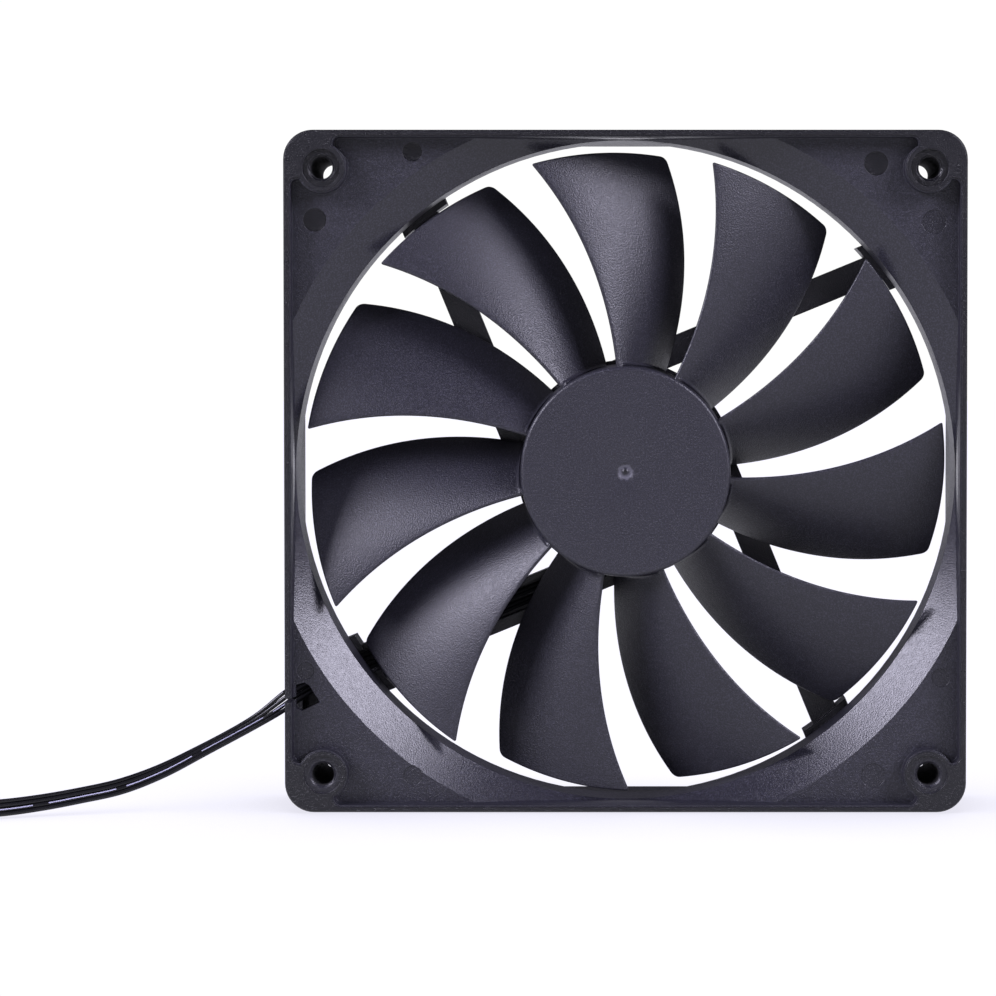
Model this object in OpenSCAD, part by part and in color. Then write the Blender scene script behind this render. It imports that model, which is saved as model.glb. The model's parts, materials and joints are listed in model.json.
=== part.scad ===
// Case fan, 140 mm: a square frame with an eleven-blade impeller, its motor, and a flat lead
// that ends in a four-way connector. The fan stands upright. X runs across it, Y runs along the
// shaft from the intake side to the exhaust side, Z is up, and the origin is at the middle of
// the frame's bottom face. Depths are measured back from the intake face.

/* [Frame] */
// Width and height of the square frame
frame_size = 140; // [139.5:0.5:141]
// Depth of the frame along the shaft
frame_depth = 25; // [25:0.5:27]
// Radius of the frame's outer corners
corner_r = 6; // [5:0.5:7]
// Distance between neighbouring screw holes
hole_spacing = 124.5; // [124:0.5:125]
// Diameter of the screw holes
hole_d = 4.5; // [4.2:0.1:4.6]
// Outer radius of the screw posts
post_r = 5.1; // [4.8:0.1:5.3]
// Thickness of the side walls
wall = 1.4; // [1.2:0.1:1.5]
// Thickness of each square flange along the shaft
flange_t = 5.6; // [5:0.2:6]
// Depth of the recessed corner floors behind the intake face
floor_depth = 4; // [3.4:0.2:4]
// Radius of the air duct's straight throat
duct_r = 68.5; // [68.2:0.1:68.5]
// Radius of the intake flare where it meets the corner floors
flare_r = 75.2; // [74:0.2:76]

/* [Struts] */
// Direction of the first strut
strut_angle = 22.3; // [20:0.1:25]
// Distance from the shaft to a strut's middle line
strut_offset = 19.2; // [19:0.1:20]
// Width of the three plain struts
strut_w = 6; // [5:0.1:7]
// Width of the strut that carries the lead
lead_strut_w = 8.6; // [8.2:0.1:9]
// Thickness of the struts along the shaft
strut_t = 4.6; // [4.2:0.2:4.6]
// Radius of the motor base
base_r = 23; // [22.8:0.1:23.4]

/* [Impeller] */
// Number of blades
blade_count = 11; // [7:1:11]
// Radius at the blade tips
tip_r = 66.2; // [64:0.1:66.5]
// Radius of the hub's face
hub_face_r = 21.6; // [21.4:0.1:21.8]
// Radius of the hub at its open end
hub_r = 22.2; // [22.1:0.1:22.4]
// Thickness of a blade at mid chord
blade_t = 1.5; // [1.2:0.1:1.8]
// Thickness of a blade at its edges
blade_edge_t = 0.6; // [0.5:0.1:0.8]

/* [Motor] */
// Radius of the shaft
shaft_r = 1.5; // [1.4:0.05:1.5]
// Radial clearance between shaft and bearing
shaft_clearance = 0.03; // [0.02:0.01:0.05]
// Outer radius of the bearing
bearing_r = 3.7; // [3.5:0.1:3.8]
// Outer radius of the stator's pole shoes
stator_r = 17.2; // [17:0.1:17.3]

/* [Lead] */
// Diameter of one insulated conductor; four of them side by side make the flat lead
wire_d = 0.9; // [0.8:0.05:1]
// Radius of the coil's outermost turn
coil_r = 22.7; // [22.5:0.1:24]
// Spacing of the coil's turns
coil_pitch = 1.6; // [1.5:0.1:1.7]

/* [Hidden] */
$fn = 96;
eps = 0.01;
half = frame_size / 2;
inner_half = half - wall;
hole_pos = hole_spacing / 2;

// Frame details
edge_chamfer = 0.3;
step_w = 0.35;
step_depth = 0.45;
block_reach = 2.3;
pocket_corner_r = 1.4;
counterbore_r = 3.9;
counterbore_depth = 0.6;
hole_chamfer = 0.5;
throat_depth = 8.2;
seam_depth = 17;
rear_bore_r = 70.3;
rear_wall_t = 1.5;
flat_half = half - 1.5;
duct_outer_r = half + 0.4;
skirt_t = 1.8;
rear_plate_t = 1.6;
pin_mark_depth = 0.15;
// Ejector marks on the corner floors: x, y, radius
PIN_MARKS = [
    [-43.9, 65.8, 2], [-64, 51.8, 2.4], [51.6, 63.4, 2.5], [63.6, 51.4, 2.5],
    [-66.2, -41.3, 1.8], [-44, -63, 2], [51.2, -63, 2.5], [65.2, -42.7, 1.9]
];
// Lead outlet through the lower left corner floor, and the slit that opens it to the side
OUTLET = [[-68.2, -44.2], [-66.4, -43.7], [-65.4, -44.3], [-63.2, -47.8], [-66.9, -49.6], [-68.2, -49]];
slit_y = -47;
slit_w = 0.7;

// Strut and motor base details
strut_front = frame_depth - strut_t;
lead_strut_angle = strut_angle + 180;
lead_strut_offset = 17.8;
channel_w = 5.2;
channel_depth = 2.2;
channel_offset = lead_strut_offset - 0.7;
pad_reach = 1;
pad_w = 2.5;
pad_rise = 1.4;
base_rim_t = 1.4;
base_rim_front = 19.7;
base_floor_depth = 22.8;
label_depth = 0.3;
label_r = 20.5;
tube_r = bearing_r + 1;
tube_top = 6;

// Hub and motor depths
hub_top = 0.8;
hub_chamfer = 0.35;
hub_wall = 1.5;
hub_face_t = 1.6;
hub_end = 18.8;
yoke_t = 0.8;
yoke_end = 17.2;
magnet_t = 2.1;
magnet_top = 6;
magnet_end = 16.8;
magnet_bore_r = hub_r - hub_wall - yoke_t - magnet_t;
boss_r = 4;
boss_end = 5.2;
shaft_end = 21.8;
core_top = 8.5;
core_end = 13.5;
insulator_t = 0.8;
arm_w = 4.4;
coil_build = 2.2;
board_top = 17.3;
board_t = 1;
board_r = 19.2;
board_angle = 45;
pin_ring_r = 6.2;
pin_r = 0.4;
core_hub_r = 7.6;
winding_from = 8.6;
winding_to = stator_r - 2.2;
bearing_top = 6.6;
bearing_end = 20.2;
clip_depth = 20.6;
clip_t = 0.4;

// Blade sweep: angles of the leading and trailing edge at the hub, and their growth to the tip
lead_angle = 160.2;
lead_sweep = 12.3;
trail_angle = 133.5;
trail_sweep = 14.7;
sweep_power = 1.39;
root_r = hub_r - 0.9;
blade_rows = 10;
blade_cols = 10;

// Lead outside the frame, in the object's own coordinates, and its roll from standing on edge
wire_count = 4;
lead_w = wire_count * wire_d;
LEAD_ROUTE = [
    [-70, -3.5, 22.6], [-75, -4.1, 19], [-80, -4.8, 16], [-88, -6.3, 11.8], [-96, -8.4, 7.9],
    [-104, -10.8, 5.1], [-112, -13.4, 3.6], [-120, -16.2, 2.5], [-128, -19, 1.9],
    [-138, -22, 1.9], [-150, -24, 2.1], [-162, -24.5, 2.1]
];
LEAD_ROLL = [0, 40, 54, 55, 44, 33, 34, 28, 18, 8, 0, 0];
lead_exit = LEAD_ROUTE[0];
lead_end = LEAD_ROUTE[len(LEAD_ROUTE) - 1];
coil_centre = [lead_end[0], lead_end[1] + coil_r];
coil_lift = 0.3;
coil_turns = 2.75;
coil_inner_r = coil_r - coil_pitch * coil_turns;
tail_r = 10;
tail_straight = 3;
connector_size = [12.6, 10.2, 5.8];
connector_shell_h = 4.9;
connector_back = coil_centre[0] + coil_inner_r - tail_r - tail_straight;
connector_y = coil_centre[1] - tail_r;
terminal_pitch = 2.54;
terminal_slot = [9.4, 1.9, 2.2];
terminal_floor = 1.3;

// ---- Placing helpers ----

// Turns a shape drawn with its front towards +Z into the upright fan
module upright() {
    translate([0, 0, half]) rotate([90, 0, 0]) children();
}

// Height above the fan's middle plane of a depth behind the intake face
function zd(depth) = frame_depth / 2 - depth;

// Extrudes an outline between two depths
module slab(from, to) {
    translate([0, 0, zd(to)]) linear_extrude(to - from) children();
}

// Solid cylinder between two depths
module disc(from, to, r) {
    translate([0, 0, zd(to)]) cylinder(h = to - from, r = r);
}

// Hollow cylinder between two depths
module ring(from, to, outer, inner) {
    slab(from, to) difference() {
        circle(outer);
        circle(inner);
    }
}

// Solid of revolution from [radius, depth] points
module turned(points) {
    rotate_extrude() polygon([for (p = points) [p[0], zd(p[1])]]);
}

module each_corner() {
    for (x = [-1, 1], y = [-1, 1]) translate([x * hole_pos, y * hole_pos]) children();
}

// ---- Frame ----

module rounded_square(h, r) {
    square([2 * h, 2 * (h - r)], center = true);
    square([2 * (h - r), 2 * h], center = true);
    for (x = [-1, 1], y = [-1, 1]) translate([x * (h - r), y * (h - r)]) circle(r);
}

// Profile of a flange's edge: chamfered on its outer side
function edge_profile(reach, from, to, front) = [
    [reach - (front ? edge_chamfer : 0), zd(from)],
    [reach, zd(from) - (front ? edge_chamfer : 0)],
    [reach, zd(to) + (front ? 0 : edge_chamfer)],
    [reach - (front ? 0 : edge_chamfer), zd(to)]
];

// Square plate with rounded corners and one chamfered face
module edged_plate(from, to, front) {
    flat = half - corner_r;
    profile = edge_profile(half, from, to, front);
    mirrored = [for (i = [3:-1:0]) [-profile[i][0], profile[i][1]]];
    for (turn = [0, 90]) rotate([0, 0, turn]) rotate([90, 0, 0])
        linear_extrude(2 * flat, center = true) polygon(concat(profile, mirrored));
    corner = edge_profile(corner_r, from, to, front);
    for (x = [-1, 1], y = [-1, 1]) translate([x * flat, y * flat, 0])
        rotate_extrude() polygon(concat([[0, zd(from)]], corner, [[0, zd(to)]]));
}

// Recess of the intake flange around the screw posts; grow widens it for the upper step
module pocket_outline(grow) {
    reach = inner_half + grow;
    block = hole_pos - block_reach + grow;
    difference() {
        square(2 * reach, center = true);
        each_corner() circle(post_r - grow);
        for (x = [-1, 1], y = [-1, 1]) translate([x * half, y * half])
            square(2 * (half - block), center = true);
        for (turn = [0:90:270], flip = [0, 1]) rotate(turn) mirror([0, flip])
            translate([reach, block]) corner_fill(pocket_corner_r + grow);
    }
}

// What is left of a square corner that lies at the origin once it is rounded off
module corner_fill(r) {
    difference() {
        translate([-r, -r]) square(r + 1);
        translate([-r, -r]) circle(r);
    }
}

module duct_shell() {
    intersection() {
        turned([
            [flare_r - 14, floor_depth], [flare_r + 2, floor_depth],
            [flare_r + 2, flange_t], [duct_outer_r, throat_depth + skirt_t],
            [duct_outer_r, seam_depth], [rear_bore_r + rear_wall_t, frame_depth],
            [duct_r - 3, frame_depth], [duct_r - 3, throat_depth]
        ]);
        slab(0, frame_depth) rounded_square(half, corner_r);
    }
}

module rear_flange() {
    difference() {
        edged_plate(frame_depth - flange_t, frame_depth, false);
        slab(frame_depth - flange_t - 1, frame_depth - rear_plate_t)
            rounded_square(inner_half, corner_r - wall);
    }
}

module duct_bores() {
    intersection() {
        turned([
            [0, floor_depth - 1], [flare_r, floor_depth - 1], [flare_r, floor_depth],
            [duct_r, throat_depth], [duct_r, seam_depth + eps], [0, seam_depth + eps]
        ]);
        slab(0, frame_depth) square(2 * inner_half, center = true);
    }
    intersection() {
        turned([
            [0, seam_depth], [duct_r, seam_depth], [rear_bore_r, frame_depth],
            [rear_bore_r, frame_depth + 1], [0, frame_depth + 1]
        ]);
        slab(seam_depth, frame_depth + 1) square(2 * flat_half, center = true);
    }
}

// Box along a strut, from one distance to another, across its middle line
module strut_box(angle, offset, width, start, end, from, to) {
    slab(from, to) rotate(angle) translate([start, offset - width / 2])
        square([end - start, width]);
}

module struts() {
    intersection() {
        union() {
            for (turn = [0, 90, 270]) rotate([0, 0, turn])
                strut_box(strut_angle, strut_offset, strut_w, 6, half, strut_front, frame_depth);
            strut_box(lead_strut_angle, lead_strut_offset, lead_strut_w, 6, half,
                strut_front, frame_depth);
        }
        disc(0, frame_depth, rear_bore_r + 0.3);
    }
}

// Box around a strut's root, wide enough for a pad on both sides of it
module root_box(angle, offset, width) {
    reach = sqrt(duct_r * duct_r - offset * offset);
    strut_box(angle, offset, width + 2 * pad_w, reach - 8, half, strut_front - pad_rise, frame_depth);
}

// Pads on the duct's wall on both sides of a strut's root
module root_pads() {
    difference() {
        intersection() {
            union() {
                for (turn = [0, 90, 270]) rotate([0, 0, turn])
                    root_box(strut_angle, strut_offset, strut_w);
                root_box(lead_strut_angle, lead_strut_offset, lead_strut_w);
            }
            disc(0, frame_depth, rear_bore_r + 0.3);
        }
        disc(0, frame_depth + 1, duct_r - pad_reach);
    }
}

module motor_base() {
    difference() {
        disc(base_rim_front, frame_depth, base_r);
        disc(base_rim_front - 1, base_floor_depth, base_r - base_rim_t);
    }
    disc(tube_top, frame_depth, tube_r);
}

// Wire channel in the lead's strut, open towards the intake, and its way through the duct wall
module lead_channel() {
    strut_box(lead_strut_angle, channel_offset, channel_w, 11, half - 3,
        strut_front - 1, strut_front + channel_depth);
    strut_box(lead_strut_angle, channel_offset, channel_w, 55, half + 2,
        seam_depth + 1, strut_front + channel_depth);
}

module screw_holes() {
    each_corner() {
        disc(-1, frame_depth + 1, hole_d / 2);
        disc(-1, counterbore_depth, counterbore_r);
        turned([
            [0, counterbore_depth - 0.1], [hole_d / 2 + hole_chamfer + 0.1, counterbore_depth - 0.1],
            [hole_d / 2, counterbore_depth + hole_chamfer], [0, counterbore_depth + hole_chamfer]
        ]);
    }
}

module lead_outlet() {
    slab(floor_depth - 1, flange_t + 1) polygon(OUTLET);
    slab(-1, flange_t + 1) translate([-half - 1, slit_y - slit_w / 2])
        square([wall + 2, slit_w]);
}

module frame() {
    color("#2b2a31") upright() difference() {
        union() {
            difference() {
                union() {
                    edged_plate(0, flange_t, true);
                    rear_flange();
                    duct_shell();
                    each_corner() disc(flange_t - 1, frame_depth, post_r);
                }
                slab(-1, step_depth) pocket_outline(step_w);
                slab(-1, floor_depth) pocket_outline(0);
                duct_bores();
            }
            struts();
            root_pads();
            motor_base();
        }
        disc(tube_top - 1, frame_depth + 1, bearing_r);
        disc(frame_depth - label_depth, frame_depth + 1, label_r + 0.2);
        lead_channel();
        screw_holes();
        lead_outlet();
        for (mark = PIN_MARKS) translate([mark[0], mark[1]])
            disc(floor_depth - 1, floor_depth + pin_mark_depth, mark[2]);
    }
}

// ---- Impeller ----

function lead_edge(s) = lead_angle + lead_sweep * pow(s, sweep_power);
function trail_edge(s) = trail_angle + trail_sweep * pow(s, sweep_power);
function lead_depth(s) = 3 + 1.4 * s;
function trail_depth(s) = 17.8 - 0.7 * s;
// Share of the blade's depth reached at u along the chord: flatter at the leading edge
function camber(u) = 0.62 * u + 0.38 * u * u;
function camber_slope(u) = 0.62 + 0.76 * u;
function blade_thickness(u) = blade_edge_t + (blade_t - blade_edge_t) * 2 * sqrt(max(u * (1 - u), 0));

// One point of a blade's skin: s from hub to tip, u from leading to trailing edge
function blade_point(s, u, face) = let(
    r = root_r + (tip_r - root_r) * s,
    chord = lead_edge(s) - trail_edge(s),
    angle = lead_edge(s) - chord * u,
    drop = trail_depth(s) - lead_depth(s),
    slope = drop * camber_slope(u) / (r * chord * PI / 180),
    depth = lead_depth(s) + drop * camber(u) + face * blade_thickness(u) / 2 * sqrt(1 + slope * slope)
) [r * cos(angle), r * sin(angle), zd(depth)];

// Two triangles over a four-cornered cell
function cell(a, b, c, d) = [[a, c, b], [a, d, c]];

module blade() {
    n = blade_rows;
    m = blade_cols;
    side = (n + 1) * (m + 1);
    points = [
        for (face = [-1, 1]) for (i = [0:n]) for (j = [0:m]) blade_point(i / n, j / m, face)
    ];
    function at(face, i, j) = face * side + i * (m + 1) + j;
    faces = concat(
        [for (i = [0:n - 1]) for (j = [0:m - 1])
            each cell(at(0, i, j), at(0, i, j + 1), at(0, i + 1, j + 1), at(0, i + 1, j))],
        [for (i = [0:n - 1]) for (j = [0:m - 1])
            each cell(at(1, i, j), at(1, i + 1, j), at(1, i + 1, j + 1), at(1, i, j + 1))],
        [for (i = [0:n - 1]) each cell(at(0, i, 0), at(0, i + 1, 0), at(1, i + 1, 0), at(1, i, 0))],
        [for (i = [0:n - 1]) each cell(at(0, i, m), at(1, i, m), at(1, i + 1, m), at(0, i + 1, m))],
        [for (j = [0:m - 1]) each cell(at(0, 0, j), at(1, 0, j), at(1, 0, j + 1), at(0, 0, j + 1))],
        [for (j = [0:m - 1]) each cell(at(0, n, j), at(0, n, j + 1), at(1, n, j + 1), at(1, n, j))]
    );
    polyhedron(points, faces, convexity = 4);
}

module hub() {
    inner = hub_r - hub_wall;
    difference() {
        turned([
            [0, hub_top], [hub_face_r - hub_chamfer, hub_top], [hub_face_r, hub_top + hub_chamfer],
            [hub_r, hub_end], [inner, hub_end], [inner, hub_top + hub_face_t],
            [0, hub_top + hub_face_t]
        ]);
        ring(hub_top - 1, hub_top + 0.12, 1.95, 1.5);
        disc(hub_top - 1, hub_top + 0.5, 0.8);
    }
}

module impeller() {
    color("#2e2d34") upright() {
        hub();
        for (i = [0:blade_count - 1]) rotate([0, 0, i * 360 / blade_count]) blade();
    }
}

// ---- Rotor ----

module rotor_yoke() {
    outer = hub_r - hub_wall;
    top = hub_top + hub_face_t;
    color("#9a9ca0") upright() {
        ring(top, top + yoke_t, outer, boss_r);
        ring(top + yoke_t, yoke_end, outer, outer - yoke_t);
    }
}

module magnet_ring() {
    color("#3a3836") upright()
        ring(magnet_top, magnet_end, magnet_bore_r + magnet_t, magnet_bore_r);
}

module shaft_boss() {
    color("#b08d57") upright() ring(hub_top + hub_face_t, boss_end, boss_r, shaft_r);
}

// Steel shaft with a groove for the clip and a domed end
module shaft() {
    groove_r = shaft_r - 0.35;
    color("#c4c6ca") upright() turned([
        [0, hub_top + hub_face_t], [shaft_r, hub_top + hub_face_t], [shaft_r, clip_depth],
        [groove_r, clip_depth], [groove_r, clip_depth + clip_t], [shaft_r, clip_depth + clip_t],
        [shaft_r, shaft_end - 0.4], [shaft_r - 0.4, shaft_end - 0.1], [0, shaft_end]
    ]);
}

// Split plastic washer in the shaft's groove
module retaining_clip() {
    color("#e6e3da") upright() difference() {
        ring(clip_depth, clip_depth + clip_t, 2.9, shaft_r - 0.35);
        slab(clip_depth - 1, clip_depth + clip_t + 1) translate([0, -0.3]) square([4, 0.6]);
    }
}

// ---- Stator ----

module bearing_sleeve() {
    bore = shaft_r + shaft_clearance;
    color("#a98252") upright() difference() {
        disc(bearing_top, bearing_end, bearing_r);
        disc(bearing_top - 1, bearing_end + 1, bore);
    }
}

module oil_seal() {
    color("#1f1f22") upright() ring(tube_top, bearing_top, bearing_r, shaft_r + 0.25);
}

module thrust_pad() {
    color("#d8d4c8") upright() disc(shaft_end + 0.02, base_floor_depth, bearing_r);
}

module bearing_cap() {
    color("#26262b") upright() disc(base_floor_depth, frame_depth - label_depth, bearing_r);
}

module core_outline(shoes) {
    difference() {
        union() {
            circle(core_hub_r);
            for (turn = [0:90:270]) rotate(turn) translate([0, -arm_w / 2])
                square([stator_r - 1, arm_w]);
            if (shoes) intersection() {
                difference() {
                    circle(stator_r);
                    circle(stator_r - 1.6);
                }
                for (turn = [0:90:270]) rotate(turn)
                    polygon([[0, 0], [20, 15.4], [26, 0], [20, -15.4]]);
            }
        }
        circle(tube_r);
    }
}

module stator_core() {
    color("#7d7f84") upright() slab(core_top, core_end) core_outline(true);
}

module insulator(from, to) {
    color("#efece2") upright() slab(from, to) core_outline(false);
}

module insulator_front() {
    insulator(core_top - insulator_t, core_top);
}

module insulator_rear() {
    insulator(core_end, core_end + insulator_t);
}

// Copper winding around one stator arm
module winding(turn) {
    arm_half_z = (core_end - core_top) / 2 + insulator_t;
    middle = zd((core_top + core_end) / 2);
    color("#b5652f") upright() rotate([0, 0, turn]) translate([winding_from, 0, middle])
        rotate([0, 90, 0]) linear_extrude(winding_to - winding_from) difference() {
            square([2 * (arm_half_z + coil_build), arm_w + 2 * coil_build], center = true);
            square([2 * arm_half_z, arm_w], center = true);
        }
}

module winding_1() winding(0);
module winding_2() winding(90);
module winding_3() winding(180);
module winding_4() winding(270);

module pin_places() {
    for (turn = [0:90:270]) rotate([0, 0, board_angle + turn]) translate([pin_ring_r, 0])
        children();
}

module winding_pins() {
    color("#c9a24a") upright() pin_places()
        disc(core_end + insulator_t, board_top + board_t + 0.8, pin_r);
}

// ---- Electronics ----

module circuit_board() {
    color("#2f6b3a") upright() difference() {
        disc(board_top, board_top + board_t, board_r);
        disc(board_top - 1, board_top + board_t + 1, tube_r);
        pin_places() disc(board_top - 1, board_top + board_t + 1, pin_r);
    }
}

// Box on the circuit board's rear side, at a place in the board's plane
module on_board(x, y, size, turn) {
    translate([x, y, zd(board_top + board_t) - size[2]])
        rotate([0, 0, turn]) translate([-size[0] / 2, -size[1] / 2, 0]) cube(size);
}

module driver_chip() {
    color("#18181b") upright() {
        on_board(10.5, 8, [5, 4, 1.3], 30);
        for (i = [-1.5:1:1.5], s = [-1, 1]) on_board(
            10.5 + cos(30) * i * 1.2 - sin(30) * s * 2.5,
            8 + sin(30) * i * 1.2 + cos(30) * s * 2.5, [0.5, 1, 0.4], 30);
    }
}

module hall_sensor() {
    size = [1.5, 4, 3];
    color("#202024") upright() rotate([0, 0, board_angle])
        translate([magnet_bore_r - 4, -size[1] / 2, zd(board_top)]) cube(size);
}

module board_capacitors() {
    color("#b59a6a") upright() {
        on_board(-11, 8, [3.2, 1.6, 1.4], 60);
        on_board(-13.5, 2, [2, 1.2, 0.9], 90);
        on_board(2, 14, [2, 1.2, 0.7], 0);
        on_board(-3, 13, [2, 1.2, 0.7], 20);
    }
}

module rear_label() {
    color("#b9bbc0") upright() disc(frame_depth - label_depth, frame_depth - 0.1, label_r);
}

// ---- Lead ----

function unit(v) = v / norm(v);
function heading(p, i) = unit(p[min(i + 1, len(p) - 1)] - p[max(i - 1, 0)]);
function sideways(t) = unit(cross(t, [0, 0, 1]));
// Eight-cornered section around a point: half width w, half thickness h, rolled about the heading
function section(c, t, w, h, roll) = let(
    s = sideways(t), u = cross(s, t), cut = 0.42 * h,
    across = cos(roll) * u + sin(roll) * s, through = cos(roll) * s - sin(roll) * u,
    quarter = [[w, cut], [w - h + cut, h]],
    outline = concat(
        quarter, [[-quarter[1][0], h], [-w, cut]], -quarter, [[w - h + cut, -h], [w, -cut]])
) [for (q = outline) c + across * q[0] + through * q[1]];
// Point on a smooth curve through a list of points
function spline(p, t) = let(
    n = len(p) - 1, i = min(floor(t), n - 1), f = t - i,
    a = p[max(i - 1, 0)], b = p[i], c = p[i + 1], d = p[min(i + 2, n)]
) 0.5 * (2 * b + (c - a) * f + (2 * a - 5 * b + 4 * c - d) * f * f
    + (3 * b - a - 3 * c + d) * f * f * f);
function smooth(p, steps) = [for (k = [0:(len(p) - 1) * steps]) spline(p, k / steps)];

// Skin over rings of eight points each
module skin(rings) {
    n = len(rings);
    m = len(rings[0]);
    points = [for (r = rings) for (p = r) p];
    faces = concat(
        [[for (k = [0:m - 1]) k]],
        [for (i = [0:n - 2]) for (k = [0:m - 1]) let(q = (k + 1) % m)
            each cell(i * m + k, i * m + q, (i + 1) * m + q, (i + 1) * m + k)],
        [[for (k = [m - 1:-1:0]) (n - 1) * m + k]]
    );
    polyhedron(points, faces, convexity = 6);
}

// Flat strip along a path: half width w, half thickness h, one roll angle for each point
module ribbon(path, w, h, rolls) {
    skin([for (i = [0:len(path) - 1]) section(path[i], heading(path, i), w, h, rolls[i])]);
}

// Place on the lead's strut: distance outwards, offset across it, depth
function on_strut(along, across, depth) = let(a = lead_strut_angle, o = channel_offset + across)
    [along * cos(a) - o * sin(a), depth - frame_depth / 2, half + along * sin(a) + o * cos(a)];

module lead_wires() {
    gap = wire_d + 0.1;
    color("#141418") for (k = [0:wire_count - 1]) let(
        shift = (k - (wire_count - 1) / 2) * gap,
        path = smooth([
            on_strut(3, shift, 19), on_strut(9, shift, 19.6), on_strut(16, shift, 21.4),
            on_strut(30, shift, 21.6), on_strut(48, shift, 21.6), on_strut(63, shift, 20.6),
            [-63.5, -0.5, 26.2 - shift], lead_exit - [0, 0, shift]
        ], 3)
    ) ribbon(path, wire_d / 2, wire_d / 2, [for (p = path) 0]);
}

module lead_ribbon() {
    color("#141418") ribbon(smooth(LEAD_ROUTE, 3), lead_w / 2, wire_d / 2, smooth(LEAD_ROLL, 3));
}

module lead_coil() {
    color("#141418") translate([coil_centre[0], coil_centre[1], coil_lift])
        linear_extrude(lead_w) difference() {
            circle(coil_r + wire_d / 2);
            circle(coil_inner_r - wire_d / 2);
        }
}

module lead_tail() {
    mid = connector_size[2] / 2;
    start = coil_lift + lead_w / 2;
    arc = [for (k = [0:8]) let(a = -90 * k / 8) [
        coil_centre[0] + coil_inner_r - tail_r + tail_r * cos(a),
        coil_centre[1] + tail_r * sin(a),
        start + (mid - start) * k / 8
    ]];
    path = concat(arc, [[connector_back, connector_y, mid]]);
    color("#141418") ribbon(path, lead_w / 2, wire_d / 2, [for (k = [0:9]) 10 * k]);
}

module lead_tie() {
    outer = coil_r + wire_d / 2 + coil_lift;
    inner = coil_inner_r - wire_d / 2 - coil_lift;
    color("#1b1b1f") translate([coil_centre[0], coil_centre[1], 0]) difference() {
        translate([-outer, -1.5, 0]) cube([outer - inner, 3, lead_w + 2 * coil_lift]);
        translate([0, 0, coil_lift]) linear_extrude(lead_w) difference() {
            circle(coil_r + wire_d / 2);
            circle(coil_inner_r - wire_d / 2);
        }
    }
}

module terminal_places() {
    for (k = [0:wire_count - 1])
        translate([0, (k - (wire_count - 1) / 2) * terminal_pitch, 0]) children();
}

module connector_housing() {
    size = connector_size;
    color("#161619") translate([connector_back - size[0], connector_y, 0]) difference() {
        union() {
            translate([0, -size[1] / 2, 0]) cube([size[0], size[1], connector_shell_h]);
            for (y = [-2.7, 1.7]) translate([0, y, connector_shell_h - eps])
                cube([size[0] - 2, 1, size[2] - connector_shell_h + eps]);
        }
        terminal_places() translate([-1, -terminal_slot[1] / 2, terminal_floor])
            cube(terminal_slot + [size[0] - terminal_slot[0] + 2, 0, 0]);
    }
}

module connector_terminals() {
    color("#c8b27a") translate([connector_back - connector_size[0], connector_y, 0])
        terminal_places() difference() {
            translate([0.6, -terminal_slot[1] / 2, terminal_floor]) cube(terminal_slot);
            translate([0, -0.6, terminal_floor + 0.35]) cube([8, 1.2, 1.5]);
        }
}

frame();
impeller();
rotor_yoke();
magnet_ring();
shaft_boss();
shaft();
retaining_clip();
bearing_sleeve();
oil_seal();
thrust_pad();
bearing_cap();
stator_core();
insulator_front();
insulator_rear();
winding_1();
winding_2();
winding_3();
winding_4();
winding_pins();
circuit_board();
driver_chip();
hall_sensor();
board_capacitors();
rear_label();
lead_wires();
lead_ribbon();
lead_coil();
lead_tail();
lead_tie();
connector_housing();
connector_terminals();
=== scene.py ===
"""Case fan, 140 mm, in its CAD frame, in metres.

X runs across the fan, Y along the shaft from intake to exhaust, and Z is up.
"""

import json
import math

import bpy
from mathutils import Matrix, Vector


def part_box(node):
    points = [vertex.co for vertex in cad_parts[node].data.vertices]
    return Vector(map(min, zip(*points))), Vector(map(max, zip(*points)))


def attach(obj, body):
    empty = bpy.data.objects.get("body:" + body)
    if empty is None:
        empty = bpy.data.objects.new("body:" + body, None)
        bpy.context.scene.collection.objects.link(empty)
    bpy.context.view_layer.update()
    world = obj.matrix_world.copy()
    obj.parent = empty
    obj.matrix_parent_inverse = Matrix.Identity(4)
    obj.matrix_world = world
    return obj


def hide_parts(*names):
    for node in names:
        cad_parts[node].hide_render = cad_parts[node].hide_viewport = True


MM = 0.001

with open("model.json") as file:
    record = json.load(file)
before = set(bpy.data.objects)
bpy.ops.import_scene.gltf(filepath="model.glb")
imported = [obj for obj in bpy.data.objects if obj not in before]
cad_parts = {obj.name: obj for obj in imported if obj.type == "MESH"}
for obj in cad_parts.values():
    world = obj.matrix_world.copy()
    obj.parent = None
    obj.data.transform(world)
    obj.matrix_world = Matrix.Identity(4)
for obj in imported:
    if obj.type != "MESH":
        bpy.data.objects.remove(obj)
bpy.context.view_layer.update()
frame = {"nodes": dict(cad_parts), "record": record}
low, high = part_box("frame")
HALF = (high.z - low.z) / 2 / MM
DEPTH = (high.y - low.y) / MM


def at(x, y, depth):
    """A point of the fan: x and y from the shaft, depth behind the intake face, in millimetres."""
    return Vector((x, depth - DEPTH / 2, HALF + y)) * MM


def polar(r, angle, depth):
    return at(r * math.cos(angle), r * math.sin(angle), depth)


# ---- Camera ----

EYE_DISTANCE = 558
EYE_HEIGHT = 92.4
PITCH = math.radians(1.4)
LENS = 98.5
# The fan stands to the right of the picture's middle, and its lead fills the left
SHIFT = (-0.128, -0.069)


def add_camera():
    data = bpy.data.cameras.new("camera")
    data.lens = LENS
    data.shift_x, data.shift_y = SHIFT
    data.clip_start = 0.01
    camera = bpy.data.objects.new("camera", data)
    camera.location = (0, low.y - EYE_DISTANCE * MM, EYE_HEIGHT * MM)
    camera.rotation_euler = (math.pi / 2 - PITCH, 0, 0)
    bpy.context.scene.collection.objects.link(camera)
    bpy.context.scene.camera = camera


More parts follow.
